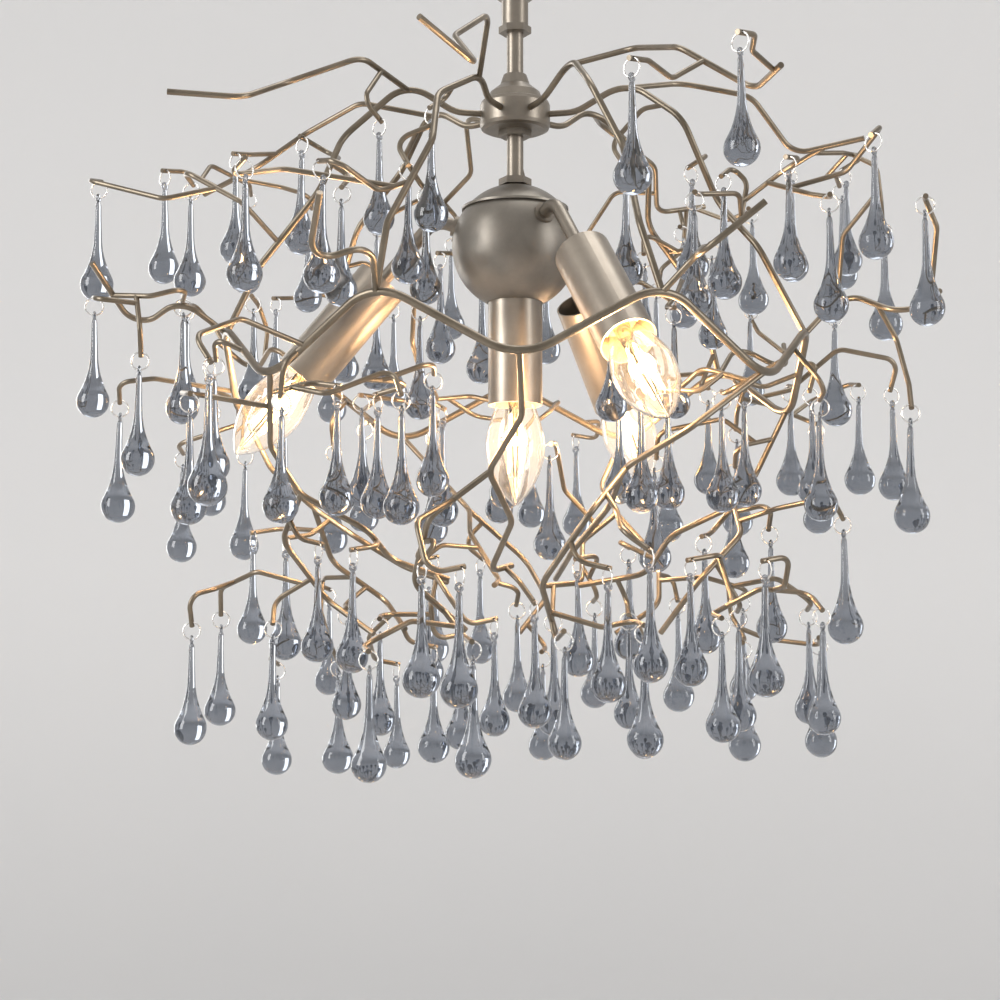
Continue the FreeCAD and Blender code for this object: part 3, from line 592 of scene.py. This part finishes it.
def bulb_envelope():
    """The bulb's glass as a closed shell: down its inside, then back up its outside."""
    outer = bulb_profile()
    inner = [(max(r - BULB_WALL, 0.0), z) for r, z in outer[:-1]] + [(0.0, outer[-1][1] - BULB_WALL)]
    return revolve(inner[::-1] + outer + [inner[0]], 44)


def on_turn(turn, radius, height):
    """The point at a radius and a height, turned about the bulb's axis."""
    return Vector((radius * math.cos(turn), radius * math.sin(turn), height))


def led_stick(turn):
    """One leaning LED stick with narrowed ends."""
    foot = on_turn(turn, *STICK_FOOT)
    head = on_turn(turn, *STICK_HEAD)
    rows = 14
    sides = 10
    points = [foot.lerp(head, k / rows) for k in range(rows + 1)]
    vertices, faces = swept(points, STICK_RADIUS, sides)
    narrowed = []
    for i, v in enumerate(vertices):
        row = i // sides
        taper = 0.55 if row in (0, rows) else 1.0
        narrowed.append(points[row] + (v - points[row]) * taper)
    return narrowed, faces


def stick_turns():
    """How far each LED stick is turned about the bulb's axis."""
    return [math.radians(45) + 2 * math.pi * k / STICK_COUNT for k in range(STICK_COUNT)]


def support_wires():
    """The bent lead wires between the LED sticks and the centre post, and the post."""
    low = ((0.6, 39.0), (1.6, 41.0), (3.2, 43.6))
    high = ((5.6, 77.8), (4.6, 80.6), (2.2, 81.0), (0.3, 80.6))
    wires = []
    for turn in stick_turns():
        for route in (low, high):
            points = [on_turn(turn, radius * MM, height * MM) for radius, height in route]
            wires.append(swept(points, 0.28 * MM, 6))
    post = [Vector((0, 0, height * MM)) for height in (36, 50, 66, 80.8)]
    wires.append(swept(post, 0.35 * MM, 6))
    return merged(wires)


def glass_stem():
    """The flared glass stem that carries the wires inside the bulb."""
    points = ((6.0, 19.5), (5.2, 21.5), (3.4, 24.0), (2.5, 28.0), (2.2, 33.0), (2.3, 37.0), (1.9, 39.6))
    outer = spline([(r * MM, z * MM) for r, z in points], 4) + [(0.0, 40.4 * MM)]
    return revolve([(0.0, 19.5 * MM)] + outer, 24)


def screw_cap():
    """The cap's shell with its rolled thread."""
    rows = 44
    start = 4.9 * MM
    end = CAP_LENGTH - 0.2 * MM
    base = [(0.0, 2.0 * MM), (2.6 * MM, 2.0 * MM), (4.2 * MM, 3.0 * MM), (CAP_RADIUS - 0.9 * MM, 4.2 * MM)]
    wall = [(CAP_RADIUS, start + (end - start) * k / rows) for k in range(rows + 1)]
    rim = [(CAP_RADIUS + 0.1 * MM, CAP_LENGTH), (CAP_RADIUS - 0.25 * MM, CAP_LENGTH)]
    inside = [(6.5 * MM, CAP_LENGTH - 0.1 * MM), (6.3 * MM, 12.0 * MM), (0.0, 11.8 * MM)]

    def threaded(radius, height, angle):
        if not THREAD_START < height < THREAD_END:
            return radius
        fade = min(1.0, (height - THREAD_START) / THREAD_FADE, (THREAD_END - height) / THREAD_FADE)
        wave = math.cos(2 * math.pi * height / THREAD_PITCH - angle)
        return radius - THREAD_DEPTH * fade * (0.5 - 0.5 * wave)

    return revolve(base + wall + rim + inside, 40, threaded)


def contact_button():
    """The domed contact at the foot of the cap."""
    points = ((0.0, 0.0), (1.2, 0.05), (2.0, 0.4), (2.4, 1.1), (2.4, 2.1), (0.0, 2.1))
    return revolve([(radius * MM, height * MM) for radius, height in points], 24)


def put_on_axis(obj, base, axis):
    """Move a piece built about Z so that it starts at base and points along axis."""
    turn = UP.rotation_difference(axis).to_matrix().to_4x4()
    obj.data.transform(Matrix.Translation(base) @ turn)


def make_bulb(body):
    """A clear candle bulb in place of the plain CAD one, found from the CAD glass and the slide's axis."""
    axis = joint_axis(body)
    points = [v.co for v in frame["nodes"][f"{body}_glass"].data.vertices]
    side = axis.orthogonal().normalized()
    other = axis.cross(side)
    centre = Vector()
    for way in (side, other):
        reach = [p.dot(way) for p in points]
        centre += way * ((min(reach) + max(reach)) / 2)
    tip = max(p.dot(axis) for p in points)
    base = centre + axis * (tip - BULB_LENGTH)
    pieces = (
        (f"{body}_envelope", bulb_envelope(), "bulb_glass", f"{body}_glass"),
        (f"{body}_led_sticks", merged([led_stick(turn) for turn in stick_turns()]),
         "filament", f"{body}_filaments"),
        (f"{body}_screw_cap", screw_cap(), "bulb_cap", f"{body}_cap"),
        (f"{body}_contact", contact_button(), "brass_contact", None),
        (f"{body}_wires", support_wires(), "plated_steel", None),
        (f"{body}_stem", glass_stem(), "bulb_glass", None),
    )
    for name, shape, slot, node in pieces:
        obj = new_object(name, *shape, MATERIALS[slot])
        face_outward(obj)
        put_on_axis(obj, base, axis)
        if node:
            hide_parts(node)
        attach(obj, body)
        # Only the cap casts a shadow, so the lamp's light passes the glass and the sticks.
        obj.visible_shadow = slot == "bulb_cap"
    lamp = bpy.data.lights.new(f"{body}_light", "POINT")
    lamp.energy = LAMP_POWER
    lamp.color = LAMP_COLOUR
    lamp.shadow_soft_size = LAMP_SIZE
    glow = bpy.data.objects.new(f"{body}_light", lamp)
    glow.location = base + axis * (LAMP_PLACE * BULB_LENGTH)
    bpy.context.scene.collection.objects.link(glow)


# ---------------------------------------------------------------- studio
def studio_cove():
    """A pale floor that curves up into a round wall, far enough out to stay behind every view."""
    floor = CAD_BOX[0][2] - FLOOR_BELOW
    profile = [(0.0, floor), (FLOOR_RADIUS / 2, floor), (FLOOR_RADIUS, floor)]
    steps = 12
    for k in range(1, steps + 1):
        angle = math.pi / 2 * k / steps
        radius = FLOOR_RADIUS + COVE_BEND * math.sin(angle)
        profile.append((radius, floor + COVE_BEND * (1 - math.cos(angle))))
    profile.append((FLOOR_RADIUS + COVE_BEND, floor + COVE_HEIGHT))
    cove = new_object("studio_cove", *revolve(profile, 96), studio_paint())


def studio_paint():
    """Pale matt paint, a little darker where the cove lies flat, because more light falls there."""
    material, shader = principled("studio_paint", Roughness=0.95)
    normal = material.node_tree.nodes.new("ShaderNodeNewGeometry").outputs["Normal"]
    split = add_node(material, "ShaderNodeSeparateXYZ")
    join(material, normal, split.inputs["Vector"])
    level = add_node(material, "ShaderNodeMath")
    level.operation = "ABSOLUTE"
    join(material, split.outputs["Z"], level.inputs[0])
    blend = add_node(material, "ShaderNodeMath")
    blend.operation = "MULTIPLY_ADD"
    blend.inputs[1].default_value = 0.12
    join(material, noise_texture(material, 1.2, 2.0, 0.5), blend.inputs[0])
    join(material, level.outputs["Value"], blend.inputs[2])
    tone = ramp(material, blend.outputs["Value"],
                ((0.0, (0.87, 0.87, 0.87)), (0.12, (0.85, 0.85, 0.85)), (1.0, (0.68, 0.68, 0.68))))
    join(material, tone, shader.inputs["Base Color"])
    return material


def softbox(name, place, target, size, power):
    """A rectangular soft light aimed at target."""
    light = bpy.data.lights.new(name, "AREA")
    light.shape = "RECTANGLE"
    light.size, light.size_y = size
    light.energy = power
    obj = bpy.data.objects.new(name, light)
    obj.location = place
    obj.rotation_euler = (Vector(target) - Vector(place)).to_track_quat("-Z", "Y").to_euler()
    bpy.context.scene.collection.objects.link(obj)


def light_and_camera():
    """Four soft lights and pale air round the chandelier, and the camera of the photo."""
    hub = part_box("hub_lower_bowl")[1].z - HUB_SEAM
    middle = (0, 0, hub - 0.08)
    softbox("window_left", (-1.7, -0.9, hub + 0.4), middle, (0.7, 1.5), 30)
    softbox("window_right", (1.7, -0.8, hub + 0.2), middle, (0.5, 1.4), 14)
    softbox("back_left", (-1.2, 1.5, hub + 0.2), middle, (0.5, 1.4), 10)
    softbox("overhead", (0.2, 0.2, hub + 1.5), middle, (0.9, 0.9), 10)
    world = bpy.data.worlds.new("studio_air")
    world.use_nodes = True
    background = world.node_tree.nodes["Background"]
    background.inputs["Color"].default_value = AIR_COLOUR
    background.inputs["Strength"].default_value = AIR_STRENGTH
    bpy.context.scene.world = world
    camera = bpy.data.cameras.new("camera")
    camera.lens = CAMERA_LENS
    camera.clip_start = 0.02
    obj = bpy.data.objects.new("camera", camera)
    obj.location = (-CAMERA_LEFT, -CAMERA_BACK, hub - CAMERA_BELOW_HUB)
    obj.rotation_euler = (math.radians(90 + CAMERA_PITCH), 0, 0)
    bpy.context.scene.collection.objects.link(obj)
    bpy.context.scene.camera = obj
    bpy.context.scene.view_settings.view_transform = "Standard"


dress_cad_nodes()
make_drops()
for bulb in sorted(body for body in frame["bodies"] if body.startswith("bulb_")):
    make_bulb(bulb)
studio_cove()
light_and_camera()
